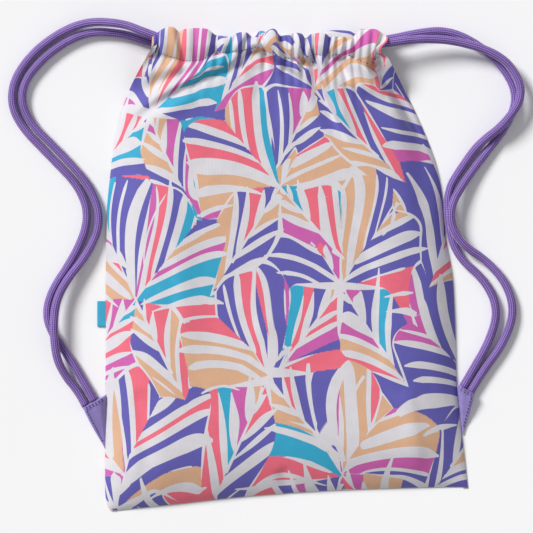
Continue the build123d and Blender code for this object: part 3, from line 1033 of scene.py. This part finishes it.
def webbing_tab(name, sewn, outer, tip, crest, cords):
    """A tab from its three corners. cords are the shares along its top edge where cords enter."""
    sewn, outer, tip = np.array(sewn), np.array(outer), np.array(tip)
    tip_end = tip + (outer - tip) * 0.05 + np.array([0.0, 1.0])
    s = np.linspace(0, 1, TAB_COLUMNS + 1)[None, :, None]
    t = np.linspace(0, 1, TAB_ROWS + 1)[:, None, None]
    top_edge = sewn + (outer - sewn) * s
    plan = top_edge * (1 - t) + (tip + (tip_end - tip) * s) * t
    plan = plan + (outer - sewn)[None, None] * 0.03 * np.sin(pi * t) * s
    s, t = s[..., 0], t[..., 0]
    length, width = np.linalg.norm(tip - outer), np.linalg.norm(outer - sewn)
    from_top, from_outer = t * length, (1 - s) * width * (1 - 0.93 * t)
    from_sewn, from_tip = s * width * (1 - 0.93 * t), (1 - t) * length
    rim = np.minimum.reduce([from_top + 0 * s, from_outer, from_sewn, from_tip + 0 * s])
    over_cords = (0.45 + 0.55 * smooth(s, 0.0, 0.28)) * (1 - 0.3 * smooth(s, 0.92, 1.0))
    swell = 0.5 * sum(np.exp(-(((s - c) / 0.13) ** 2)) for c in cords)
    body = (crest - 1.9) * over_cords * (1 - smooth(t, 0.05, 0.95))
    body = body + swell * (1 - smooth(t, 0.10, 0.32))
    cuff = 0.6 * smooth(TAB_CUFF - from_top, -0.5, 0.5)
    dents = 0.5 * sum(np.exp(-(((from_top - d) / 0.5) ** 2)) for d in TAB_SEAMS)
    ripple = 0.22 * noise(plan[..., 0] / 4.5, plan[..., 1] / 4.5, 6)
    thickness = 1.9 + body + cuff - dents + ripple
    round_off = np.sqrt(np.clip(1 - (1 - np.clip(rim / 1.3, 0, 1)) ** 2, 0, 1))
    middle = TAB_FLOOR + 0.42 * thickness
    above = middle + 0.58 * thickness * round_off
    below = middle - 0.42 * thickness * round_off
    points = np.stack([np.dstack([plan, z]) for z in (above, below)])
    uv = plan.reshape(-1, 2)
    flip = np.cross(outer - sewn, tip - sewn) > 0
    upper = grid_faces(TAB_ROWS + 1, TAB_COLUMNS + 1, flip=not flip)
    lower = grid_faces(TAB_ROWS + 1, TAB_COLUMNS + 1, flip=flip)
    faces = np.concatenate([upper, lower + len(uv)])
    obj = mesh_object(name, points, faces, np.concatenate([uv[upper], uv[lower]]), TAB)
    weld = obj.modifiers.new("weld", "WELD")
    weld.merge_threshold = 0.00001
    apply_modifiers(obj)
    look = surface(obj)
    down = (tip - outer) / length
    ends = []
    for depth in TAB_SEAMS:
        a = sewn + down * depth + (outer - sewn) * 0.06
        b = outer + down * depth - (outer - sewn) * 0.06
        ends += stitch_row(look, np.array([a, b]), 2.8, 0.62)
    inset = (sewn - outer) / width * 2.6
    a, b = outer + down * 5 + inset, tip - down * 7 + inset * 0.7
    ends += stitch_row(look, np.array([a, b]), 3.0, 0.6)
    return obj, sewing(f"{name}_thread", ends, TAB_THREAD, DARK_THREAD)


for strap, corners, crest, cords, start, end in (
    ("left", [(-160.6, -116.2), (-183.0, -128.0), (-161.6, -168.0)], 8.9, (0.42, 0.80),
     (-0.1615, -0.14, 0.004), (-0.1665, -0.143, 0.004)),
    ("right", [(166.4, -106.0), (183.0, -115.2), (172.2, -155.0)], 8.9, (0.38, 0.78),
     (0.1675, -0.13, 0.004), (0.1725, -0.132, 0.004)),
):
    webbing, threads = webbing_tab(f"{strap}_webbing_tab", *corners, crest, cords)
    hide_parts(f"{strap}_tab")
    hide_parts(f"{strap}_tab_stitching")
    for piece in (webbing, threads):
        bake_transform(piece)

# ---- label: a blank folded ribbon in the left seam ----

LABEL_SECTION = [
    (-160.4, 1.22), (-164.0, 1.28), (-167.6, 1.20), (-168.8, 1.05), (-169.2, 0.72), (-168.8, 0.38),
    (-167.6, 0.26), (-164.0, 0.24), (-160.4, 0.24), (-160.4, 0.50), (-164.0, 0.52),
    (-167.4, 0.54), (-168.2, 0.62), (-168.4, 0.72), (-168.2, 0.84), (-167.4, 0.92),
    (-164.0, 0.98), (-160.4, 0.96),
]
LABEL_Y = (-53.0, -29.0)
LABEL_SEAM_X = -162.0

section = rounded(LABEL_SECTION + LABEL_SECTION[:1], 3)[:-1]
label_rows = np.linspace(*LABEL_Y, 25)
label_points = []
for y in label_rows:
    tuck = 0.25 * smooth(1.2 - min(y - LABEL_Y[0], LABEL_Y[1] - y), 0, 1.2)
    across = section[:, 0] + tuck * (LABEL_SEAM_X - section[:, 0]) / 7
    ring = np.stack([across, np.full(len(section), y), section[:, 1]], -1)
    ring[:, 2] += 0.10 * np.sin(y * 0.45) * (-161 - ring[:, 0]) / 8
    label_points.append(ring)
around = np.concatenate([[0], np.cumsum(np.linalg.norm(np.diff(section, axis=0), axis=1))])
around = np.append(around, around[-1] + 0.4)
label_uv = tube_uv(around, label_rows, flip=True)
label_faces = tube_faces(len(label_rows), len(section), flip=True)
label = mesh_object("ribbon_label", np.array(label_points), label_faces, label_uv, LABEL)
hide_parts("label_tag")
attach(label, "label")

# ---- seam allowances: raw edges turned in, lying on the back cloth inside the bag ----

# one strip's section: how far inside the outline, and the height above the back cloth
SEAM_SECTION = [
    (7.8, 0.15), (10.0, 0.10), (13.2, 0.25), (13.5, 0.55), (13.2, 0.80), (10.0, 0.70), (7.8, 0.65),
]
SEAM_STEPS = 180

for node, line, way, first, last in (
    ("left_side_seam", LEFT_SIDE, 1, 0.05, 0.93),
    ("bottom_seam", BOTTOM, 1, 0.06, 0.94),
    ("right_side_seam", RIGHT_SIDE, -1, 0.05, 0.94),
):
    spots = along(rounded(line), np.linspace(first, last, SEAM_STEPS))
    ahead = np.gradient(spots, axis=0)
    ahead /= np.linalg.norm(ahead, axis=1)[:, None]
    inward = way * np.stack([-ahead[:, 1], ahead[:, 0]], -1)
    seam_points = []
    for i, (spot, side) in enumerate(zip(spots, inward)):
        for inset, height in SEAM_SECTION:
            fray = 0.35 * sin(i * 1.7) + 0.25 * sin(i * 0.61) if inset > 13 else 0.0
            at = spot + side * (inset + fray)
            base, _ = back_look(*at)
            seam_points.append((at[0], at[1], base[2] + height))
    seam_faces = tube_faces(SEAM_STEPS, len(SEAM_SECTION), flip=way < 0)
    allowance = mesh_object(f"{node}_allowance", seam_points, seam_faces, None, SEAM_CLOTH)
    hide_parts(node)
    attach(allowance, "root")

# ---- floor and light ----

FLOOR_REACH = 4000.0
FLOOR_Z = -0.2
WORLD_LIGHT = 0.27

floor_shader = Shader("pale_floor", 0.8, 0.0)
grain = floor_shader.span(floor_shader.noise(floor_shader.place(), 3.0), 0.3, 0.7, 0.99, 1.0)
floor_colour = floor_shader.mix(1.0, linear("fdfdfe"), grain, "MULTIPLY")
floor_shader.finish(floor_colour, grain, 0.0001, 0.1)
floor_corners = [
    (FLOOR_REACH * a, FLOOR_REACH * b, FLOOR_Z) for a, b in ((-1, -1), (1, -1), (1, 1), (-1, 1))
]
floor = mesh_object("floor", floor_corners, [(0, 1, 2, 3)], None, floor_shader.material)

world = bpy.data.worlds.new("studio")
world.use_nodes = True
world.node_tree.nodes["Background"].inputs["Color"].default_value = (1.0, 1.0, 1.0, 1)
world.node_tree.nodes["Background"].inputs["Strength"].default_value = WORLD_LIGHT
bpy.context.scene.world = world


def lamp(name, strength, angle, turn, tilt):
    """A soft distant light: tilted from straight down, then turned about z, in degrees."""
    data = bpy.data.lights.new(name, "SUN")
    data.energy = strength
    data.angle = radians(angle)
    obj = bpy.data.objects.new(name, data)
    obj.rotation_euler = Euler((radians(tilt), 0, radians(turn)), "XYZ")
    bpy.context.scene.collection.objects.link(obj)


lamp("key", 3.1, 20, 48, -52)
lamp("fill", 0.3, 60, -130, -50)
bpy.context.scene.view_settings.view_transform = "Standard"
